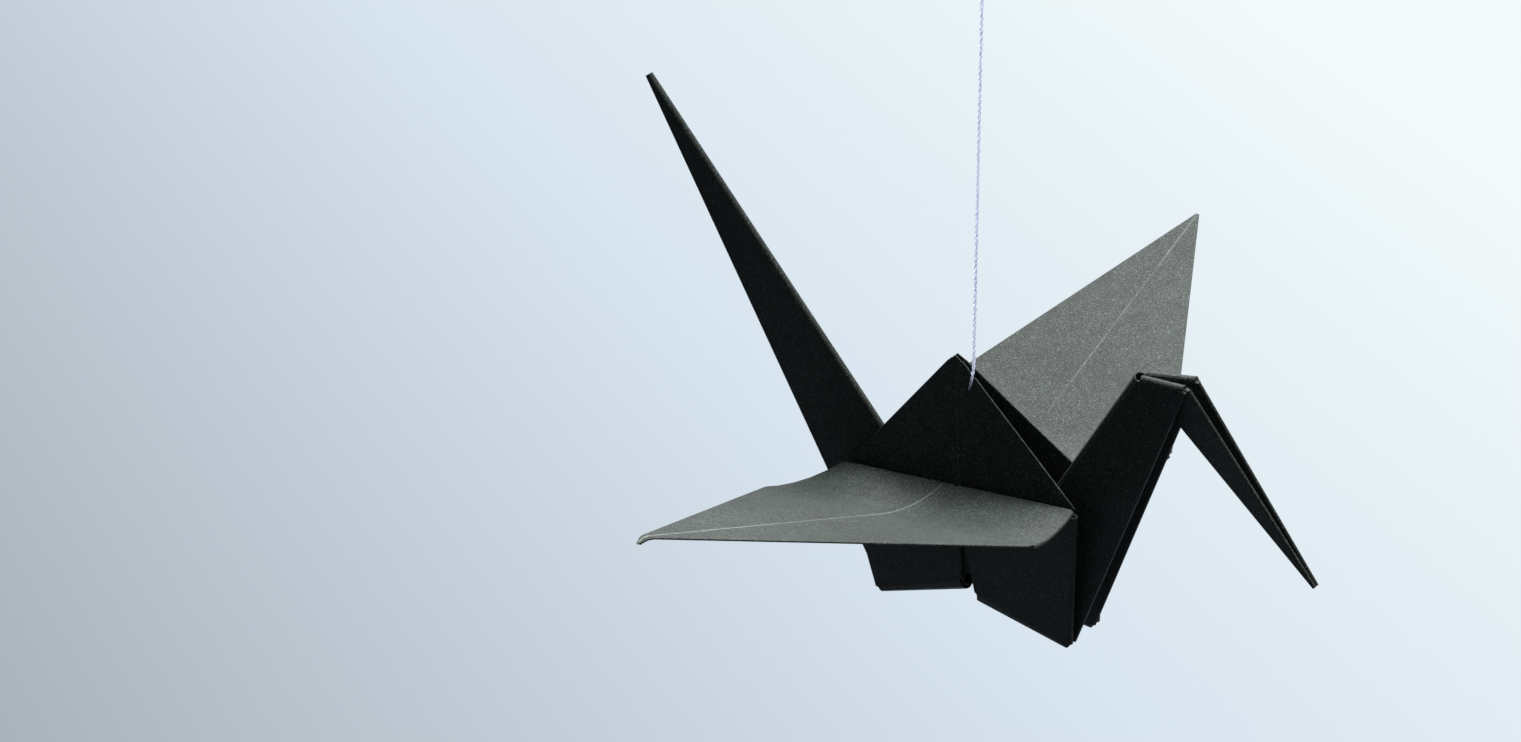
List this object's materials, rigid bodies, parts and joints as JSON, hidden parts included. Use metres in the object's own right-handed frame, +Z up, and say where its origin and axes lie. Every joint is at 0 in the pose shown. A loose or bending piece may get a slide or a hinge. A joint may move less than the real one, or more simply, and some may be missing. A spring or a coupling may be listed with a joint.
{
  "type": "origami crane",
  "caption": "Folded paper crane hanging from a sewing thread that is knotted inside its back and ends in a small loop.",
  "frame": {"origin": "inner top of the thread's loop, where it bears on a hook", "axes": "+Z up along the taut thread, +X towards the crane's head, +Y towards its left wing, the far one in the picture"},
  "size_m": [0.0648, 0.0821, 0.0661],
  "materials": {
    "paper": "matt charcoal folding paper with a fine fibrous mottle and pale worn folds",
    "thread": "pale grey two-ply sewing thread"
  },
  "bodies": {
    "root": {"crane": "paper", "thread": "thread", "stopper_knot": "thread", "loop_knot": "thread", "hang_loop": "thread"}
  },
  "joints": []
}
